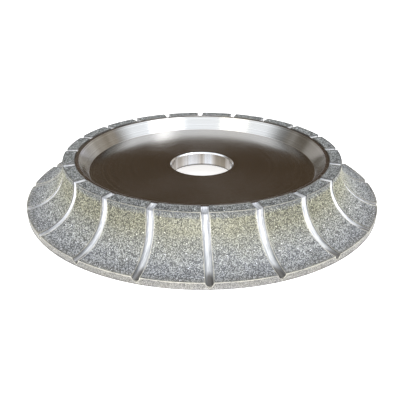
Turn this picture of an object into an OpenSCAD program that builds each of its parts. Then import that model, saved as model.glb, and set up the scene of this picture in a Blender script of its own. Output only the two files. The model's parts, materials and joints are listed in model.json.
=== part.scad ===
// Cup-shaped profile grinding wheel with a hollow flank.
// A turned steel body carries a brazed diamond coat, parted into pads by cooling slots.
// The axis is Z, and the wheel lies on its wide rim at z = 0 with the dish upwards.

/* [Wheel] */
// Outer diameter of the wheel over the coat
outer_d = 280; // [240:5:320]
// Radius of the hollow ground flank, a quarter circle in section
cove_r = 30; // [26:1:34]
// Height of the upright band around the widest edge
band_h = 5; // [3:0.5:8]

/* [Dish] */
// Width of the coated flat land on top of the flank
land_w = 9; // [6:0.5:12]
// Width of the bare steel rim between the land and the dish
rim_w = 3; // [2:0.5:5]
// Depth of the dish below the land
dish_depth = 12; // [8:0.5:14]
// Sideways run of the sloping dish wall
wall_run = 7; // [3:0.5:10]

/* [Web and bore] */
// Thickness of the flat web that the spindle flanges clamp
web_t = 12; // [8:0.5:14]
// Diameter of the spindle bore
bore_d = 50; // [20:1:60]
// Size of the 45 degree chamfer at both ends of the bore
bore_chamfer = 1; // [0.5:0.1:2]

/* [Underside] */
// Width of the flat foot under the flank
foot_w = 38; // [34:0.5:42]
// Sideways run of the sloping wall of the underside recess
recess_run = 6; // [2:0.5:10]

/* [Diamond coat] */
// Thickness of the brazed diamond coat
coat_t = 0.8; // [0.5:0.1:1.5]

/* [Cooling slots] */
// Number of slots, and so of pads, around the wheel
slot_count = 20; // [12:1:24]
// Width of a slot
slot_w = 5; // [4:0.5:6]
// Depth of a slot below the coated surface
slot_depth = 3; // [2.5:0.1:4]
// Lean of the slots about the radial direction, in degrees
slot_lean = 4; // [0:0.5:4.5]

/* [Hidden] */
$fn = 240;
PAD_NAMES = [for (i = [1:slot_count]) str("diamond_pad_", i < 10 ? "0" : "", i)];

// Radii and heights worked out from the dimensions above
outer_r = outer_d / 2;
total_h = cove_r + band_h;
land_r = outer_r - cove_r;
rim_r = land_r - land_w;
dish_r = rim_r - rim_w;
floor_r = dish_r - wall_run;
floor_z = total_h - dish_depth;
web_z = floor_z - web_t;
recess_r = outer_r - foot_w;
recess_floor_r = recess_r - recess_run;
bore_r = bore_d / 2;

// The steel is smaller than the finished wheel by the coat
steel_r = outer_r - coat_t;
steel_h = total_h - coat_t;

// The slots are evenly spaced, and the first lies on the -Y side
slot_step = 360 / slot_count;
first_slot = -90;

// The groove along the land runs past the flank's edge into the hollow
groove_end_r = land_r + slot_depth;

// Section through the hollow of the flank, drawn to a given radius
module cove_section(r) {
    translate([outer_r, total_h]) circle(r = r);
}

// Half section of the turned body before slotting
module body_section() {
    difference() {
        polygon([
            [bore_r + bore_chamfer, web_z],
            [bore_r, web_z + bore_chamfer],
            [bore_r, floor_z - bore_chamfer],
            [bore_r + bore_chamfer, floor_z],
            [floor_r, floor_z],
            [dish_r, steel_h],
            [steel_r, steel_h],
            [steel_r, 0],
            [recess_r, 0],
            [recess_floor_r, web_z]
        ]);
        cove_section(cove_r + coat_t);
    }
}

// Half section of the coat over the land, the flank and the band
module coat_section() {
    difference() {
        translate([rim_r, 0]) square([outer_r - rim_r, total_h]);
        cove_section(cove_r);
        difference() {
            square([steel_r, steel_h]);
            cove_section(cove_r + coat_t);
        }
    }
}

// Section of a slot with a half-round bottom at the given depth below y = 0
module groove_section(depth) {
    round_r = slot_w / 2;
    translate([0, round_r - depth]) circle(r = round_r);
    translate([-round_r, round_r - depth]) square([slot_w, 2 * depth]);
}

// Slotting cutter down the flank, a disc with a rounded edge on the flank's own centre
module flank_cutter() {
    disc_r = cove_r + slot_depth;
    round_r = slot_w / 2;
    translate([outer_r, 0, total_h])
        rotate([90 + slot_lean, 0, 0])
            rotate_extrude() {
                translate([0, -round_r]) square([disc_r - round_r, slot_w]);
                intersection() {
                    translate([disc_r - round_r, 0]) circle(r = round_r);
                    translate([0, -round_r]) square([disc_r, slot_w]);
                }
            }
}

// Straight groove across the land, stopping at the bare rim
module land_cutter() {
    translate([rim_r, 0, total_h])
        rotate([90, 0, 90])
            linear_extrude(groove_end_r - rim_r)
                groove_section(slot_depth);
}

// One whole slot, counted from the first
module slot(i) {
    rotate([0, 0, first_slot + i * slot_step]) {
        flank_cutter();
        land_cutter();
    }
}

// Turned and slotted steel body with its dish, web and bore
module steel_body() {
    color([0.63, 0.60, 0.56])
        difference() {
            rotate_extrude() body_section();
            for (i = [0:slot_count - 1]) slot(i);
        }
}

// Diamond pad between slot i and the next
module diamond_pad(i) {
    color([0.55, 0.56, 0.50])
        difference() {
            rotate([0, 0, first_slot + i * slot_step])
                rotate_extrude(angle = slot_step) coat_section();
            slot(i);
            slot(i + 1);
        }
}

steel_body();
for (i = [0:slot_count - 1]) {
    diamond_pad(i);
}
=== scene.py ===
"""Looks of the dish-shaped diamond profile wheel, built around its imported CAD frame."""
import json
import math

import bmesh
import bpy
import numpy as np
from mathutils import Matrix, Vector


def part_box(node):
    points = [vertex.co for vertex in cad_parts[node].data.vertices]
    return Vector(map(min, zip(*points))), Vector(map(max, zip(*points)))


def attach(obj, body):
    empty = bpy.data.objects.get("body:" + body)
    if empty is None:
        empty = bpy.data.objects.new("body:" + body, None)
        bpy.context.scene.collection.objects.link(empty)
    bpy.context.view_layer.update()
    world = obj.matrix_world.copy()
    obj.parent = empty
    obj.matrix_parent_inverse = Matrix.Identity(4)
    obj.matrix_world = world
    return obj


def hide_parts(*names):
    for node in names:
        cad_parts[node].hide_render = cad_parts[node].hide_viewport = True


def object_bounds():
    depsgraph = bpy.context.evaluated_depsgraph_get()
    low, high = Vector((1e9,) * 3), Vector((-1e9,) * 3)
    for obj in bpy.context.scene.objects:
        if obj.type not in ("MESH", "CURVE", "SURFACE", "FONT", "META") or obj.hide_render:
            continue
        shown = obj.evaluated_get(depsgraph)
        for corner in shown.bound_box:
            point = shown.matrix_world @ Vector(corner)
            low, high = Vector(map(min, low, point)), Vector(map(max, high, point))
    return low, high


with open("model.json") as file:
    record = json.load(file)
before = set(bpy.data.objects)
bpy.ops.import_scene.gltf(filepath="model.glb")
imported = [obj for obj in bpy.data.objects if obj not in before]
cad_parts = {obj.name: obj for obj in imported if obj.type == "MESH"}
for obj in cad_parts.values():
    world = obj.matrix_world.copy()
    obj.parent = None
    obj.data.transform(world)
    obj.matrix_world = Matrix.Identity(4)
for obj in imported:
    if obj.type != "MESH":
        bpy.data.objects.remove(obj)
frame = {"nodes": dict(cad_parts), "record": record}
CAD_LOW, CAD_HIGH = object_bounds()

MM = 0.001
TAU = 2 * math.pi

# ---- Sizes, in metres, read from the frame where it holds them ----
MOUNTS = {mount["name"]: mount for mount in frame["record"]["mounts"]}
BODY_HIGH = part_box("steel_body")[1]
OUTER_R = (CAD_HIGH[0] - CAD_LOW[0]) / 2
TOTAL_H = CAD_HIGH[2]
COAT_T = OUTER_R - BODY_HIGH.x
BORE_R = MOUNTS["spindle_bore"]["dims"]["r_mm"] * MM
FLOOR_Z = MOUNTS["flange_seat_top"]["pos_m"][2]
WEB_Z = MOUNTS["flange_seat_under"]["pos_m"][2]
PADS = sorted(name for name in frame["nodes"] if name.startswith("diamond_pad_"))

COVE_R = 30 * MM
LAND_W = 9 * MM
RIM_W = 3 * MM
WALL_RUN = 7 * MM
FOOT_W = 38 * MM
RECESS_RUN = 6 * MM
BORE_CHAMFER = 1 * MM
SLOT_W = 5 * MM
SLOT_DEPTH = 3 * MM
SLOT_LEAN = math.radians(4)
FIRST_SLOT = -math.pi / 2

LAND_R = OUTER_R - COVE_R
RIM_R = LAND_R - LAND_W
DISH_R = RIM_R - RIM_W
FLOOR_R = DISH_R - WALL_RUN
BAND_H = TOTAL_H - COVE_R
STEEL_R = OUTER_R - COAT_T
STEEL_H = TOTAL_H - COAT_T
RECESS_R = OUTER_R - FOOT_W
SLOT_STEP = TAU / len(PADS)


# ---- Shader helpers ----
class Nodes:
    """Short calls that add nodes to a node tree and join them."""

    # Places of the Mix node's sockets when it mixes colours
    MIX_FACTOR, MIX_A, MIX_B, MIX_RESULT = 0, 6, 7, 2

    def __init__(self, tree):
        self.tree = tree

    def node(self, kind, inputs=None, **settings):
        made = self.tree.nodes.new(kind)
        for key, value in settings.items():
            setattr(made, key, value)
        for key, value in (inputs or {}).items():
            self.put(made.inputs[key], value)
        return made

    def put(self, socket, value):
        """Joins a node's output to the socket, or sets the socket to a plain value."""
        if isinstance(value, bpy.types.NodeSocket):
            self.tree.links.new(value, socket)
        else:
            socket.default_value = value

    def math(self, operation, a, b=0.0):
        return self.node("ShaderNodeMath", {0: a, 1: b}, operation=operation).outputs[0]

    def vector(self, operation, a, b=(0, 0, 0), output="Vector"):
        return self.node("ShaderNodeVectorMath", {0: a, 1: b}, operation=operation).outputs[output]

    def noise(self, scale, detail=2.0, rough=0.5, vector=None, dims="3D", w=None):
        made = self.node("ShaderNodeTexNoise", {"Scale": scale, "Detail": detail, "Roughness": rough},
                         noise_dimensions=dims)
        if vector is not None:
            self.put(made.inputs["Vector"], vector)
        if w is not None:
            self.put(made.inputs["W"], w)
        return made.outputs["Fac"]

    def ramp(self, factor, *stops):
        """A colour ramp through (position, (r, g, b)) or (position, grey) stops."""
        made = self.node("ShaderNodeValToRGB", {"Fac": factor})
        points = made.color_ramp.elements
        while len(points) < len(stops):
            points.new(0.5)
        for point, (position, colour) in zip(points, stops):
            point.position = position
            grey = isinstance(colour, (int, float))
            point.color = (colour, colour, colour, 1) if grey else (*colour, 1)
        return made.outputs["Color"]

    def remap(self, value, low, high, to_low, to_high):
        """Carries low to to_low and high to to_high, evenly between them, and holds at both ends."""
        inputs = {"Value": value, "From Min": low, "From Max": high, "To Min": to_low, "To Max": to_high}
        return self.node("ShaderNodeMapRange", inputs).outputs["Result"]

    def mix(self, factor, a, b, blend="MIX"):
        made = self.node("ShaderNodeMix", data_type="RGBA", blend_type=blend)
        for index, value in ((self.MIX_FACTOR, factor), (self.MIX_A, a), (self.MIX_B, b)):
            if isinstance(value, tuple) and len(value) == 3:
                value = (*value, 1)
            self.put(made.inputs[index], value)
        return made.outputs[self.MIX_RESULT]


class Shader(Nodes):
    """A new material with its Principled shader."""

    def __init__(self, name, **fixed):
        self.material = bpy.data.materials.new(name)
        self.material.use_nodes = True
        super().__init__(self.material.node_tree)
        self.principled = self.tree.nodes["Principled BSDF"]
        for socket, value in fixed.items():
            self.principled.inputs[socket.replace("_", " ")].default_value = value

    def set(self, socket, value):
        self.put(self.principled.inputs[socket], value)

    def bump(self, height, strength, distance):
        inputs = {"Height": height, "Strength": strength, "Distance": distance}
        return self.node("ShaderNodeBump", inputs).outputs["Normal"]

    def spot(self):
        """The shaded point, in metres from the wheel's own origin."""
        return self.node("ShaderNodeTexCoord").outputs["Object"]

    def flat(self):
        """The shaded point, brought down to z = 0."""
        return self.vector("MULTIPLY", self.spot(), (1, 1, 0))

    def radius(self):
        """The shaded point's distance from the wheel's axis."""
        return self.vector("LENGTH", self.flat(), output="Value")

    def height(self):
        return self.node("ShaderNodeSeparateXYZ", {0: self.spot()}).outputs["Z"]


# ---- Steel materials ----
BORE_TONES = 0.034             # picks where the bore's light and dark tones, its painted reflections, lie
DARK_RING = (0.736,) * 3       # tone of a dark tool ring, as shares of the steel's own
LIGHT_RING = (1.12,) * 3       # tone of a light tool ring
WARM_FILM = (1.0, 0.95, 0.87)  # tone of the warm smears that lie over the rings
CONE_SHARE = 0.7               # how far height counts with radius in placing the rings


def scaled(colour, factors):
    """The colour with each of its parts multiplied by its own factor."""
    return tuple(part * factor for part, factor in zip(colour, factors))


def turned_steel(name, tone, rough, ring_gap, ring_depth, aniso=0.0):
    """Bare steel with tool rings around the axis. ring_gap is the rings' usual width in metres."""
    s = Shader(name, Metallic=1.0, Anisotropic=aniso, Anisotropic_Rotation=0.25)
    along = s.math("ADD", s.radius(), s.math("MULTIPLY", s.height(), CONE_SHARE))
    fine = s.noise(1 / ring_gap, 3.0, 0.6, dims="1D", w=along)
    broad = s.noise(0.12 / ring_gap, dims="1D", w=along)
    stain = s.noise(28.0, 4.0, 0.6, vector=s.spot())
    smear = s.noise(9.0, vector=s.spot())
    rings = s.math("ADD", s.math("MULTIPLY", broad, 0.6), s.math("MULTIPLY", fine, 0.4))
    base = s.ramp(rings, (0.30, scaled(tone, DARK_RING)), (0.72, scaled(tone, LIGHT_RING)))
    s.set("Base Color", s.mix(s.remap(smear, 0.42, 0.70, 0.0, 0.45), base, scaled(tone, WARM_FILM)))
    wear = s.math("ADD", s.remap(stain, 0.3, 0.7, -0.02, 0.04), s.remap(fine, 0.3, 0.7, -0.02, 0.03))
    s.set("Roughness", s.math("ADD", wear, rough))
    s.set("Normal", s.bump(s.math("ADD", fine, s.math("MULTIPLY", broad, 0.5)), 0.6, ring_depth))
    if aniso:
        s.set("Tangent", s.node("ShaderNodeTangent", direction_type="RADIAL", axis="Z").outputs[0])
    return s.material


def bore_steel():
    """Reamed bore with tones that run along it, which are painted reflections, a painted highlight on the
    chamfer at its top and painted shade at its foot.
    """
    s = Shader("reamed_bore_steel", Metallic=1.0)
    # painted reflection: light and dark stripes down the bore stand in for what its steel mirrors
    stripe = s.noise(75.0, vector=s.vector("ADD", s.flat(), (0.0, 0.0, BORE_TONES)))
    fine = s.noise(700.0, vector=s.flat())
    tones = s.ramp(stripe, (0.34, (0.24, 0.21, 0.17)), (0.48, (0.50, 0.47, 0.44)), (0.60, (0.72, 0.74, 0.78)))
    base = s.mix(s.remap(fine, 0.35, 0.65, 0.0, 0.25), tones, (0.22, 0.20, 0.18))
    foot = WEB_Z + BORE_CHAMFER
    # painted shade: the bore is darkened near black just above its lower chamfer
    bore_foot_shade = s.remap(s.height(), foot + 0.3 * MM, foot + 1.0 * MM, 0.85, 0.0)
    # painted highlight: the top chamfer is painted near white
    chamfer_highlight = s.remap(s.height(), FLOOR_Z - 1.1 * BORE_CHAMFER, FLOOR_Z - BORE_CHAMFER, 0.0, 1.0)
    bore_foot_shaded = s.mix(bore_foot_shade, base, (0.05, 0.045, 0.04))
    s.set("Base Color", s.mix(chamfer_highlight, bore_foot_shaded, (0.93, 0.93, 0.94)))
    s.set("Roughness", s.remap(fine, 0.3, 0.7, 0.14, 0.24))
    s.set("Normal", s.bump(fine, 0.4, 0.01 * MM))
    return s.material


def across_slot(s):
    """Distance of a point from the nearest slot's radial line, with its sign, along the circle."""
    x, y, _ = s.node("ShaderNodeSeparateXYZ", {0: s.spot()}).outputs
    turn = s.math("DIVIDE", s.math("SUBTRACT", s.math("ARCTAN2", y, x), FIRST_SLOT), SLOT_STEP)
    off = s.math("SUBTRACT", turn, s.math("ROUND", turn))
    return s.math("MULTIPLY", s.math("MULTIPLY", off, SLOT_STEP), s.radius())


def milled_steel():
    """Steel cut bright by the slotting disc: streaked, greyer low down, and with painted shade at its foot
    that is darker off the slot's middle.
    """
    s = Shader("milled_slot_steel", Metallic=1.0)
    across, height = across_slot(s), s.height()
    squeezed = s.math("MULTIPLY", across, 16.0)
    lane = s.node("ShaderNodeCombineXYZ", {0: squeezed, 1: s.radius(), 2: height}).outputs[0]
    streak = s.noise(110.0, 3.0, 0.6, vector=lane)
    patch = s.noise(160.0, 3.0, 0.6, vector=s.spot())
    streaked = s.ramp(streak, (0.34, (0.40, 0.41, 0.44)), (0.50, (0.64, 0.65, 0.67)), (0.64, 0.86))
    # mixes the slot's colour towards mid grey lower down
    greyer_low = s.mix(s.remap(height, 5 * MM, 20 * MM, 0.45, 0.0), streaked, (0.46, 0.47, 0.48))
    # painted shade: the slot's foot is darkened, more so towards its sides
    slot_foot_shade = s.remap(height, 3.3 * MM, 4.6 * MM, 1.0, 0.0)
    shade_off_middle = s.remap(s.math("ABSOLUTE", across), 0.3 * MM, 1.4 * MM, 0.35, 0.90)
    s.set("Base Color", s.mix(s.math("MULTIPLY", slot_foot_shade, shade_off_middle), greyer_low, (0.17, 0.16, 0.15)))
    s.set("Roughness", s.remap(patch, 0.3, 0.7, 0.48, 0.64))
    s.set("Normal", s.bump(streak, 0.5, 0.08 * MM))
    return s.material


# ---- Coat materials ----
LAND_BLEND = 0.1 * MM   # width over which the coat's tone changes between the land and the flank
BAND_BLEND = 0.4 * MM   # height over which it changes between the flank and the band


def on_band(s, most):
    """The number most on the band, and 0 above it."""
    return s.remap(s.height(), BAND_H - BAND_BLEND, BAND_H, most, 0.0)


def coat_tint_and_shade(s):
    """How the coat's tone changes over a pad: slate on the land, olive high on the flank, darker grey-blue
    low on it as painted shade above the band, and warm on the band."""
    share = s.remap(s.height(), 0.0, TOTAL_H, 0.0, 1.0)
    # painted shade: the flank's lowest stop, just above the band, is darker and grey-blue
    flank = s.ramp(share, (0.15, (0.77, 0.79, 0.87)), (0.22, (0.90, 0.92, 0.98)), (0.40, (0.87, 0.88, 0.86)),
                   (0.62, (0.79, 0.78, 0.66)), (0.95, (0.71, 0.70, 0.57)))
    banded = s.mix(on_band(s, 1.0), flank, (0.80, 0.78, 0.77))
    on_land = s.remap(s.radius(), LAND_R - LAND_BLEND, LAND_R, 1.0, 0.0)
    return s.mix(on_land, banded, (0.61, 0.63, 0.67))


def braze_ground():
    """Nickel braze between the grains, rough and silvery, and lighter on the bead along the edges."""
    s = Shader("braze_ground", Metallic=0.8)
    pits = s.noise(1500.0, 3.0, 0.65, vector=s.spot())
    blotch = s.noise(70.0, 3.0, 0.6, vector=s.spot())
    base = s.ramp(pits, (0.34, 0.10), (0.56, 0.34), (0.75, 0.56))
    aged = s.mix(s.remap(blotch, 0.4, 0.7, 0.0, 0.35), base, (0.40, 0.38, 0.28))
    tinted = s.mix(1.0, aged, coat_tint_and_shade(s), "MULTIPLY")
    bead = s.node("ShaderNodeAttribute", attribute_name="bead").outputs["Fac"]
    patchy = s.math("ADD", s.remap(pits, 0.3, 0.7, -0.3, 0.3), s.remap(blotch, 0.35, 0.65, -0.25, 0.25))
    # lighter tone along the bead at the pad's edges
    edge_lightening = s.remap(s.math("ADD", bead, patchy), 0.35, 0.85, 0.0, 0.9)
    off_foot = s.remap(s.height(), 0.5 * MM, 1.5 * MM, 0.0, 1.0)
    off_land = s.remap(s.radius(), LAND_R - LAND_BLEND, LAND_R, 0.25, 1.0)
    share = s.math("MULTIPLY", s.math("MULTIPLY", edge_lightening, off_foot), off_land)
    s.set("Base Color", s.mix(share, tinted, (0.70, 0.68, 0.60)))
    s.set("Roughness", s.remap(pits, 0.3, 0.7, 0.62, 0.38))
    s.set("Normal", s.bump(pits, 0.8, 0.20 * MM))
    return s.material


def diamond_grain():
    """Synthetic diamond crystals. Each has its own tone, from dark to light grey, and a few are painted white
    past full brightness as painted glints.
    """
    s = Shader("diamond_grain", Metallic=0.0, IOR=1.5)
    pick = s.node("ShaderNodeNewGeometry").outputs["Random Per Island"]
    # painted glints: the last stop paints a few grains brighter than white
    tones = s.ramp(pick, (0.0, (0.09, 0.09, 0.09)), (0.36, (0.22, 0.22, 0.20)), (0.46, (0.52, 0.52, 0.47)),
                   (0.90, (0.78, 0.78, 0.72)), (0.990, (0.86, 0.86, 0.84)), (0.996, (1.6, 1.6, 1.6)))
    calmed = s.mix(on_band(s, 0.6), tones, (0.56, 0.56, 0.54))
    s.set("Base Color", s.mix(1.0, calmed, coat_tint_and_shade(s), "MULTIPLY"))
    s.set("Roughness", s.remap(s.noise(600.0, vector=s.spot()), 0.3, 0.7, 0.20, 0.45))
    return s.material


# ---- Mesh helpers ----
def mesh_object(name, verts, faces, materials, material_index=None, smooth=False):
    mesh = bpy.data.meshes.new(name)
    mesh.from_pydata(np.asarray(verts).tolist(), [], faces)
    for material in materials:
        mesh.materials.append(material)
    if material_index is not None:
        mesh.polygons.foreach_set("material_index", np.asarray(material_index, np.int32))
    mesh.polygons.foreach_set("use_smooth", np.full(len(mesh.polygons), smooth))
    mesh.validate()
    mesh.update()
    made = bpy.data.objects.new(name, mesh)
    bpy.context.scene.collection.objects.link(made)
    return made


def fillet(points, radii, steps=6):
    """A closed outline whose corner i is rounded by an arc of radius radii[i]; 0 keeps it sharp."""
    out = []
    for i, (point, radius) in enumerate(zip(points, radii)):
        corner = Vector(point)
        if radius == 0:
            out.append(tuple(corner))
            continue
        before = (Vector(points[i - 1]) - corner).normalized()
        after = (Vector(points[(i + 1) % len(points)]) - corner).normalized()
        half = before.angle(after) / 2
        reach = radius / math.tan(half)
        centre = corner + (before + after).normalized() * (radius / math.sin(half))
        start = corner + before * reach - centre
        end = corner + after * reach - centre
        turn = start.angle_signed(end)
        for step in range(steps + 1):
            spoke = start.copy()
            spoke.rotate(Matrix.Rotation(-turn * step / steps, 2))
            out.append(tuple(centre + spoke))
    return out


def revolve(outline, turns=360):
    """Quads of a closed (radius, height) outline swept around Z."""
    angles = np.arange(turns) * TAU / turns
    radius, height = np.array(outline).T
    verts = np.stack([np.outer(np.cos(angles), radius), np.outer(np.sin(angles), radius),
                      np.tile(height, (turns, 1))], -1).reshape(-1, 3)
    count = len(outline)
    a, i = np.divmod(np.arange(turns * count), count)
    nxt, j = (a + 1) % turns, (i + 1) % count
    faces = np.stack([a * count + i, nxt * count + i, nxt * count + j, a * count + j], -1)
    return verts, faces.tolist()


def cove_point(radius, angle):
    """A point on an arc about the flank's centre; angle 0 is level with the land, pi / 2 is right below."""
    return OUTER_R - radius * math.cos(angle), TOTAL_H - radius * math.sin(angle)


def cove_arc(depth, shares):
    """Points along the flank, at a depth under its surface, at shares of the way from its top to its foot."""
    radius = COVE_R + depth
    top, side = math.asin(depth / radius), math.acos(depth / radius)
    return [cove_point(radius, top + (side - top) * share) for share in shares]


# ---- The steel body ----
ARC_STEPS = 40          # steps along the flank's arc
ROUND_STEPS = 16        # steps around a slot's half-round bottom
DISC_STEPS = 256        # steps around the slotting disc
DISC_HOLE_R = 4 * MM    # the slotting disc's hole, which stays clear of the wheel


def body_outline():
    """Half section of the turned body with its small edge roundings, anticlockwise from the bore."""
    underside = [
        ((BORE_R + BORE_CHAMFER, WEB_Z), 0.15 * MM),
        ((RECESS_R - RECESS_RUN, WEB_Z), 0.8 * MM),
        ((RECESS_R, 0), 0.5 * MM),
        ((STEEL_R, 0), 0),
    ]
    arc = cove_arc(COAT_T, [i / ARC_STEPS for i in range(ARC_STEPS + 1)])
    flank = [(point, 0) for point in reversed(arc)]
    upper_side = [
        ((RIM_R, STEEL_H), 0),
        ((DISH_R, STEEL_H), 0.35 * MM),
        ((FLOOR_R, FLOOR_Z), 0.7 * MM),
        ((BORE_R + BORE_CHAMFER, FLOOR_Z), 0.12 * MM),
        ((BORE_R, FLOOR_Z - BORE_CHAMFER), 0.12 * MM),
        ((BORE_R, WEB_Z + BORE_CHAMFER), 0.12 * MM),
    ]
    points, radii = zip(*underside, *flank, *upper_side)
    return fillet(points, radii)


def flank_cutter():
    """The leaning disc with a rounded edge that cuts a slot down the flank."""
    half = SLOT_W / 2
    edge_r = COVE_R + SLOT_DEPTH - half
    angles = np.linspace(-math.pi / 2, math.pi / 2, ROUND_STEPS + 1)
    edge = [(edge_r + half * math.cos(t), half * math.sin(t)) for t in angles]
    verts, faces = revolve([(DISC_HOLE_R, -half)] + edge + [(DISC_HOLE_R, half)], DISC_STEPS)
    lean = Matrix.Rotation(math.pi / 2 + SLOT_LEAN, 4, "X")
    lift = Matrix.Translation((OUTER_R, 0, TOTAL_H))
    return [lift @ lean @ Vector(v) for v in verts], faces


def land_cutter():
    """The straight groove with a half-round bottom that crosses the land."""
    half = SLOT_W / 2
    centre_z = TOTAL_H - SLOT_DEPTH + half
    angles = np.linspace(-math.pi, 0, ROUND_STEPS + 1)
    section = [(half * math.cos(t), centre_z + half * math.sin(t)) for t in angles]
    section += [(half, TOTAL_H + SLOT_DEPTH), (-half, TOTAL_H + SLOT_DEPTH)]
    verts = [Vector((r, y, z)) for r in (RIM_R, LAND_R + SLOT_DEPTH) for y, z in section]
    count = len(section)
    faces = [[i, (i + 1) % count, count + (i + 1) % count, count + i] for i in range(count)]
    faces += [list(range(count))[::-1], list(range(count, 2 * count))]
    return verts, faces


def cut(target, cutter):
    """Subtracts the cutter, which is then removed, from the target."""
    modifier = target.modifiers.new("cut", "BOOLEAN")
    modifier.operation = "DIFFERENCE"
    modifier.solver = "MANIFOLD"
    modifier.object = cutter
    bpy.context.view_layer.objects.active = target
    bpy.ops.object.modifier_apply(modifier=modifier.name)
    bpy.data.objects.remove(cutter)


def outward(made):
    """Turns every face to point out of its solid."""
    bm = bmesh.new()
    bm.from_mesh(made.data)
    bmesh.ops.recalc_face_normals(bm, faces=bm.faces)
    bm.to_mesh(made.data)
    bm.free()


def cut_slots(body, verts, faces, first):
    """Cuts every second slot, so that cutters in one cut never touch each other."""
    points, polygons = [], []
    for n, k in enumerate(range(first, len(PADS), 2)):
        turn = Matrix.Rotation(FIRST_SLOT + k * SLOT_STEP, 4, "Z")
        points += [tuple(turn @ v) for v in verts]
        polygons += [[len(verts) * n + i for i in face] for face in faces]
    cutter = mesh_object("slot_cutter", points, polygons, [], smooth=True)
    outward(cutter)
    cut(body, cutter)


def steel_body():
    finishes = {
        "foot": turned_steel("turned_foot_steel", (0.52, 0.50, 0.48), 0.34, 0.35 * MM, 0.03 * MM),
        "dish": turned_steel("faced_dish_steel", (0.64, 0.62, 0.60), 0.17, 0.16 * MM, 0.002 * MM, aniso=0.6),
        "wall": turned_steel("polished_wall_steel", (0.72, 0.73, 0.74), 0.16, 0.16 * MM, 0.002 * MM,
                             aniso=0.6),
        "bore": bore_steel(),
        "rim": turned_steel("bare_rim_steel", (0.50, 0.46, 0.43), 0.25, 0.30 * MM, 0.006 * MM, aniso=0.5),
        "slot": milled_steel(),
    }
    verts, faces = revolve(body_outline())
    body = mesh_object("steel_dish_body", verts, faces, finishes.values(), smooth=True)
    outward(body)
    for cutter_verts, cutter_faces in (flank_cutter(), land_cutter()):
        for first in (0, 1):
            cut_slots(body, cutter_verts, cutter_faces, first)
    body.data.set_sharp_from_angle(angle=math.radians(28))
    names = list(finishes)
    for face in body.data.polygons:
        face.material_index = names.index(finish_at(face.center))
    weigh_normals(body)
    return body


def finish_at(spot):
    """Name of the finish that the body has at a spot. Where the pads cover it, the name doesn't matter."""
    radius = math.hypot(spot.x, spot.y)
    depth = math.hypot(radius - OUTER_R, spot.z - TOTAL_H) - COVE_R
    upper = spot.z > WEB_Z + 1 * MM
    inner_end = RIM_R - 0.05 * MM
    if radius < BORE_R + 1.05 * BORE_CHAMFER:
        return "bore"
    if upper and radius < FLOOR_R + 0.1 * MM:
        return "dish"
    if upper and radius < DISH_R - 0.3 * MM:
        return "wall"
    if radius < inner_end and spot.z > STEEL_H - 1 * MM:
        return "rim"
    if depth > COAT_T + 0.02 * MM and inner_end < radius < STEEL_R - 0.02 * MM and spot.z > 0.5 * MM:
        return "slot"
    return "foot"


def weigh_normals(made):
    """Lets the larger faces set the shading at their corners, so that flats and cones reflect truly."""
    modifier = made.modifiers.new("weighted", "WEIGHTED_NORMAL")
    modifier.keep_sharp = True
    modifier.weight = 100
    bpy.context.view_layer.objects.active = made
    bpy.ops.object.modifier_apply(modifier=modifier.name)


# ---- The diamond pads ----
BEAD_SINK = 0.02 * MM     # how far the bead lies under the coat's surface
GROUND_SINK = 0.34 * MM   # how far the rest of the braze lies under it
GROUND_WAVE = 0.35        # the braze's unevenness, as a share of its own thickness
BEAD_W = 0.42 * MM        # width of the smooth bead of braze along a pad's edges
PAD_W = 36 * MM           # a pad's rough width, which places the bead's points
GRAIN_GAP = 0.76 * MM     # distance from one grain to the next in a row
ROW_GAP = 0.88 * GRAIN_GAP
ROW_SHIFT = 0.25          # share of the gap by which rows are moved, to one side and the other by turns
GRAIN_R = 0.33 * MM       # a usual grain's radius
GRAIN_SIDES = 5
FIRST_SEED = 100
LAND_STEPS, FLANK_STEPS, BAND_STEPS, SIDE_STEPS = 9, 44, 5, 29


def slot_edge(radius, height, side):
    """Angle about Z from a slot's radial line to its edge, at a point of the coat; side is +1 or -1."""
    half = SLOT_W / 2
    reach = np.hypot(radius - OUTER_R, height - TOTAL_H)
    past_round = np.clip(reach - (COVE_R + SLOT_DEPTH - half), 0, half)
    leaned = (TOTAL_H - height) * math.tan(SLOT_LEAN)
    half_width = np.sqrt(half**2 - past_round**2) / math.cos(SLOT_LEAN)
    return np.arcsin(np.where(radius < LAND_R, side * half, leaned + side * half_width) / radius)


def pad_width(radius, height):
    return radius * (SLOT_STEP + slot_edge(radius, height, -1) - slot_edge(radius, height, +1))


def with_bead(length, steps):
    """Shares of a stretch's length, evenly spaced but for closer ones along the bead at each end.
    The last, which is 1, is left out."""
    bead = BEAD_W / length
    return np.concatenate([[0, bead / 2], np.linspace(bead, 1 - bead, steps), [1 - bead / 2]])


def coat_stretches(depth):
    """Points (radius, height) along the land, the flank and the band, at a depth under the coat's surface."""
    corner, foot = cove_arc(depth, (0, 1))
    land = [(RIM_R + (corner[0] - RIM_R) * f, TOTAL_H - depth) for f in with_bead(LAND_W, LAND_STEPS)]
    flank = cove_arc(depth, with_bead(math.pi / 2 * COVE_R, FLANK_STEPS))
    band = [(OUTER_R - depth, foot[1] * (1 - f)) for f in with_bead(BAND_H, BAND_STEPS)]
    return [np.array(land), np.array(flank), np.array(band + [(OUTER_R - depth, 0.0)])]


def walked_along(stretch):
    """Distance of each point of a stretch from its first, along the stretch."""
    return np.concatenate([[0], np.cumsum(np.hypot(*np.diff(stretch, axis=0).T))])


def from_edge(stretch):
    """Distance of each point of a stretch from the nearer of its two ends."""
    walked = walked_along(stretch)
    return np.minimum(walked, walked[-1] - walked)


def on_coat(points, v):
    """Points of a pad at each (radius, height), a share v of the way from its first slot to its second."""
    radius, height = points.T
    first = slot_edge(radius, height, +1)
    angle = first + (SLOT_STEP + slot_edge(radius, height, -1) - first) * v
    return np.stack([radius * np.cos(angle), radius * np.sin(angle), height * np.ones_like(angle)], -1)


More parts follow.
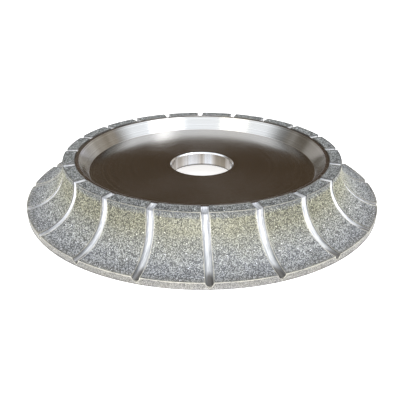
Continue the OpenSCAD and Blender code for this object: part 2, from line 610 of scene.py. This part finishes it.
def pad_grid(depth, shares):
    """A pad's points at a depth under the coat's surface, as a grid of rows that each go across the pad."""
    points = np.concatenate(coat_stretches(depth))
    return np.array([on_coat(points, share) for share in shares]).swapaxes(0, 1)


def bead_share(shares):
    """How far each point of a pad's grid is part of the bead. It is whole up to half the bead's width from an
    edge, and has ended at one and a half widths."""
    land, flank, band = coat_stretches(0.0)
    down = np.concatenate([
        from_edge(np.vstack([land, flank[:1]]))[:-1],
        from_edge(np.vstack([flank, band[:1]]))[:-1],
        from_edge(band),
    ])
    width = pad_width(*np.concatenate(coat_stretches(BEAD_SINK)).T)
    across = np.outer(width, np.minimum(shares, 1 - shares))
    return np.clip(1.5 - np.minimum(down[:, None], across) / BEAD_W, 0, 1)


def shell_quads(rows, columns):
    """Quads of a closed shell whose points are an outer grid, followed by an inner grid of the same shape."""
    count = rows * columns
    grid = np.arange(count).reshape(rows, columns)
    outer = np.stack([grid[:-1, :-1], grid[:-1, 1:], grid[1:, 1:], grid[1:, :-1]], -1).reshape(-1, 4)
    inner = outer[:, ::-1] + count
    loop = np.concatenate([grid[0], grid[1:, -1], grid[-1, -2::-1], grid[-2:0:-1, 0]])
    after = np.roll(loop, -1)
    skirt = np.stack([after, loop, loop + count, after + count], -1)
    return np.concatenate([outer, inner, skirt])


def pad_shell(rng):
    """The braze of one pad as a closed shell, gently uneven and sunk below the smooth bead along its edges.
    Returns its points, its faces and how far each point is part of the bead, from 0 to 1."""
    shares = np.append(with_bead(PAD_W, SIDE_STEPS), 1.0)
    crest, ground, inner = (pad_grid(depth, shares) for depth in (BEAD_SINK, GROUND_SINK, COAT_T))
    bead = bead_share(shares)
    wave = rng.uniform(0, GROUND_WAVE, bead.shape) * (bead == 0)
    level = ground + (crest - ground) * bead[..., None]
    outer = level + (inner - level) * wave[..., None]
    verts = np.concatenate([outer.reshape(-1, 3), inner.reshape(-1, 3)])
    return verts, shell_quads(*bead.shape), np.concatenate([bead.ravel(), np.zeros(bead.size)])


def smooth_stretches():
    """The land, the flank and the band at the coat's surface, as finely spaced points."""
    angles = np.linspace(0, math.pi / 2, 600)
    flank = np.stack([OUTER_R - COVE_R * np.cos(angles), TOTAL_H - COVE_R * np.sin(angles)], -1)
    land = np.stack([np.linspace(RIM_R, LAND_R - 0.01 * MM, 120), np.full(120, TOTAL_H)], -1)
    band = np.stack([np.full(80, OUTER_R), np.linspace(BAND_H, 0, 80)], -1)
    return land, flank, band


def directions(place, down):
    """Unit directions at each place of the coat: out of it, down its section, and around the wheel.
    down holds the section's own direction there, as (radius, height)."""
    angle = np.arctan2(place[:, 1], place[:, 0])
    out = np.stack([np.cos(angle), np.sin(angle), np.zeros_like(angle)], -1)
    around = np.stack([-np.sin(angle), np.cos(angle), np.zeros_like(angle)], -1)
    up = np.array([0.0, 0.0, 1.0])
    along = down[:, :1] * out + down[:, 1:] * up
    normal = -down[:, 1:] * out + down[:, :1] * up
    return normal, along, around


def grain_spots(rng):
    """Rows of jittered spots between the beads of one pad, and the section's direction at each."""
    places, downs = [], []
    for stretch in smooth_stretches():
        walked = walked_along(stretch)
        slope = np.gradient(stretch, axis=0)
        for row, s in enumerate(np.arange(BEAD_W + 0.2 * GRAIN_GAP, walked[-1] - BEAD_W, ROW_GAP)):
            width = pad_width(*stretch[np.searchsorted(walked, s)])
            count = int((width - 2 * BEAD_W) / GRAIN_GAP)
            v = (np.arange(count) + 0.5 + ROW_SHIFT * (-1) ** row + rng.uniform(-0.3, 0.3, count)) / count
            v = BEAD_W / width + np.clip(v, 0, 1) * (1 - 2 * BEAD_W / width)
            index = np.searchsorted(walked, s + rng.uniform(-0.16, 0.16, count) * GRAIN_GAP)
            places.append(on_coat(stretch[index], v))
            downs.append(slope[index] / np.hypot(*slope[index].T)[:, None])
    return np.concatenate(places), np.concatenate(downs)


def grain_shapes(rng, count):
    """Random crystals. Gives the angle of each corner and then, for the foot and for the crown, each corner's
    distance from the middle and its level above the coat's surface."""
    turn = rng.uniform(0, TAU, (count, 1)) + np.arange(GRAIN_SIDES) * TAU / GRAIN_SIDES
    turn = turn + rng.uniform(-0.35, 0.35, (count, GRAIN_SIDES))
    size = GRAIN_R * rng.uniform(0.72, 1.22, (count, 1))
    wide = size * rng.uniform(0.85, 1.15, (count, GRAIN_SIDES))
    narrow = wide * rng.uniform(0.45, 0.75, (count, 1))
    sunk = rng.uniform(0.03, 0.22, (count, 1)) * MM
    tilt = rng.normal(0, 0.22, (count, 2))
    lean = tilt[:, :1] * np.cos(turn) + tilt[:, 1:] * np.sin(turn)
    crown = np.minimum(-0.01 * MM, -sunk + lean * narrow)
    foot = np.full_like(crown, -(GROUND_SINK + 0.3 * (COAT_T - GROUND_SINK)))
    return turn, (wide, foot), (narrow, crown)


def grain_polygons(count):
    """Faces of the crystals, each of which has its foot's corners first and its crown's after them."""
    start = (np.arange(count) * 2 * GRAIN_SIDES)[:, None]
    k = np.arange(GRAIN_SIDES)
    after = (k + 1) % GRAIN_SIDES
    sides = np.stack([start + after, start + k, start + k + GRAIN_SIDES, start + after + GRAIN_SIDES], -1)
    crowns = (start + GRAIN_SIDES + k)[:, ::-1]
    feet = start + k
    return sides.reshape(-1, 4).tolist() + crowns.tolist() + feet.tolist()


def grains(rng):
    """Blunt five-sided crystals standing in the braze, each a closed solid ending at the coat's surface."""
    place, down = grain_spots(rng)
    normal, along, around = directions(place, down)
    turn, foot_ring, crown_ring = grain_shapes(rng, len(place))
    rings = []
    for reach, level in (foot_ring, crown_ring):
        down_part = (reach * np.cos(turn))[..., None] * along[:, None]
        side_part = (reach * np.sin(turn))[..., None] * around[:, None]
        rings.append(place[:, None] + (down_part + side_part) + level[..., None] * normal[:, None])
    return np.concatenate(rings, axis=1).reshape(-1, 3), grain_polygons(len(place))


def diamond_pads(materials):
    for k, name in enumerate(PADS):
        rng = np.random.default_rng(FIRST_SEED + k)
        shell_verts, shell_faces, bead = pad_shell(rng)
        grain_verts, grain_faces = grains(rng)
        verts = np.concatenate([shell_verts, grain_verts])
        faces = shell_faces.tolist() + [[i + len(shell_verts) for i in face] for face in grain_faces]
        finish = np.repeat([0, 1], [len(shell_faces), len(grain_faces)])
        verts[:, :2] = verts[:, :2] @ turned(FIRST_SLOT + k * SLOT_STEP)
        verts = inside_cad(verts)
        pad = mesh_object("grit_" + name.removeprefix("diamond_"), verts, faces, materials, finish)
        outward(pad)
        edge_lightening = pad.data.attributes.new("bead", "FLOAT", "POINT")
        edge_lightening.data.foreach_set("value", np.append(bead, np.zeros(len(grain_verts))))
        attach(pad, "root")
        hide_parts(name)


def turned(angle):
    """Matrix that turns row vectors anticlockwise about Z."""
    return np.array([[math.cos(angle), math.sin(angle)], [-math.sin(angle), math.cos(angle)]])


def inside_cad(verts):
    """Keeps every point within the wheel's own radius, foot and height."""
    radius = np.hypot(verts[:, 0], verts[:, 1])
    verts[:, :2] *= np.minimum(1.0, OUTER_R / radius)[:, None]
    verts[:, 2] = np.clip(verts[:, 2], 0.0, TOTAL_H)
    return verts


# ---- Stage, lights and camera ----
FLOOR_REACH = 30.0
LIGHT_TARGET = Vector((0, 0, 0.02))
BACKDROP = (0.90, 0.90, 0.91)


def make_floor():
    """A wide pale floor that also glows a little, so that it comes out white around the wheel."""
    s = Shader("pale_floor", Roughness=0.7)
    s.set("Base Color", s.ramp(s.noise(3.0), (0.3, 0.90), (0.7, 0.94)))
    s.set("Specular IOR Level", 0.2)
    s.set("Emission Color", (1, 1, 1, 1))
    s.set("Emission Strength", 0.62)
    corners = [(-1, -1), (1, -1), (1, 1), (-1, 1)]
    verts = [(FLOOR_REACH * x, FLOOR_REACH * y, 0) for x, y in corners]
    floor = mesh_object("floor", verts, [[0, 1, 2, 3]], [s.material])


def area_light(name, spot, size, power, colour=(1, 1, 1)):
    """A soft light aimed at the wheel, which the camera doesn't see itself."""
    light = bpy.data.lights.new(name, "AREA")
    light.shape = "RECTANGLE"
    light.size, light.size_y = size
    light.energy = power
    light.color = colour
    made = bpy.data.objects.new(name, light)
    made.location = spot
    made.rotation_euler = (LIGHT_TARGET - Vector(spot)).to_track_quat("-Z", "Y").to_euler()
    made.visible_camera = False
    bpy.context.scene.collection.objects.link(made)


def room_light(n, direction, x, above):
    """The room around the wheel: patchy at the sides, dim and brown in the middle, and glowing low down."""
    patches = n.ramp(n.noise(3.6, vector=direction), (0.38, (0.24, 0.20, 0.15)), (0.60, (0.60, 0.56, 0.50)))
    shade = n.remap(x, -0.7, 0.2, 0.55, 1.0)
    sides = n.node("ShaderNodeVectorMath", {0: patches, "Scale": shade}, operation="SCALE").outputs["Vector"]
    aside = n.remap(n.math("ABSOLUTE", n.math("SUBTRACT", x, 0.08)), 0.28, 0.46, 0.0, 1.0)
    dim = n.mix(aside, (0.080, 0.056, 0.034), sides)
    glow = n.mix(aside, (0.72, 0.70, 0.74), (0.46, 0.43, 0.40))
    return n.mix(n.remap(above, 0.15, 0.23, 1.0, 0.0), dim, glow)


def tent_light(n, direction, above):
    """A soft tent over the wheel and on its -Y side, brighter and cooler the higher it stands."""
    facing = n.vector("DOT_PRODUCT", direction, (0.04, -0.50, 0.86), output="Value")
    bright = n.ramp(facing, (0.10, 0.0), (0.36, (0.30, 0.29, 0.27)), (0.54, 1.0))
    overhead = n.ramp(above, (0.26, (0.46, 0.46, 0.47)), (0.54, (1.20, 1.24, 1.29)))
    return n.mix(1.0, bright, overhead, "MULTIPLY")


def make_world():
    """A room and a tent that light the wheel and show in its steel. The camera sees a plain pale backdrop."""
    world = bpy.data.worlds.new("studio")
    world.use_nodes = True
    n = Nodes(world.node_tree)
    direction = n.node("ShaderNodeTexCoord").outputs["Generated"]
    x, _, above = n.node("ShaderNodeSeparateXYZ", {0: direction}).outputs
    room = room_light(n, direction, x, above)
    around = n.mix(1.0, room, tent_light(n, direction, above), "LIGHTEN")
    seen = n.node("ShaderNodeLightPath").outputs["Is Camera Ray"]
    background = world.node_tree.nodes["Background"]
    n.put(background.inputs["Color"], n.mix(seen, around, BACKDROP))
    background.inputs["Strength"].default_value = 1.0
    bpy.context.scene.world = world


def make_light():
    area_light("key_softbox", (0.0, -2.6, 0.34), (1.8, 0.5), 46, (0.97, 0.98, 1.0))
    area_light("warm_panel", (-0.90, -0.96, 1.23), (0.7, 0.7), 2.0, (1.0, 0.93, 0.72))
    area_light("right_panel", (0.95, -0.90, 1.25), (0.9, 0.9), 4.2, (0.98, 0.99, 1.0))
    area_light("top_panel", (0.64, -0.15, 1.4), (0.5, 0.5), 2.3)


def make_camera():
    """The wheel seen from a little above, from a spot on its -Y side."""
    azimuth, distance, height = math.radians(-0.99), 2.556 * OUTER_R, 1.180 * OUTER_R
    pitch, yaw = math.radians(63.79), math.radians(-0.735)
    data = bpy.data.cameras.new("camera")
    data.sensor_width = 36.0
    data.lens = 41.85
    data.clip_end = 100.0
    camera = bpy.data.objects.new("camera", data)
    camera.location = (distance * math.sin(azimuth), -distance * math.cos(azimuth), height)
    camera.rotation_euler = (pitch, 0.0, yaw)
    bpy.context.scene.collection.objects.link(camera)
    bpy.context.scene.camera = camera


def main():
    bpy.context.scene.view_settings.view_transform = "Standard"
    body = steel_body()
    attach(body, "root")
    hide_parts("steel_body")
    diamond_pads([braze_ground(), diamond_grain()])
    make_floor()
    make_world()
    make_light()
    make_camera()


main()
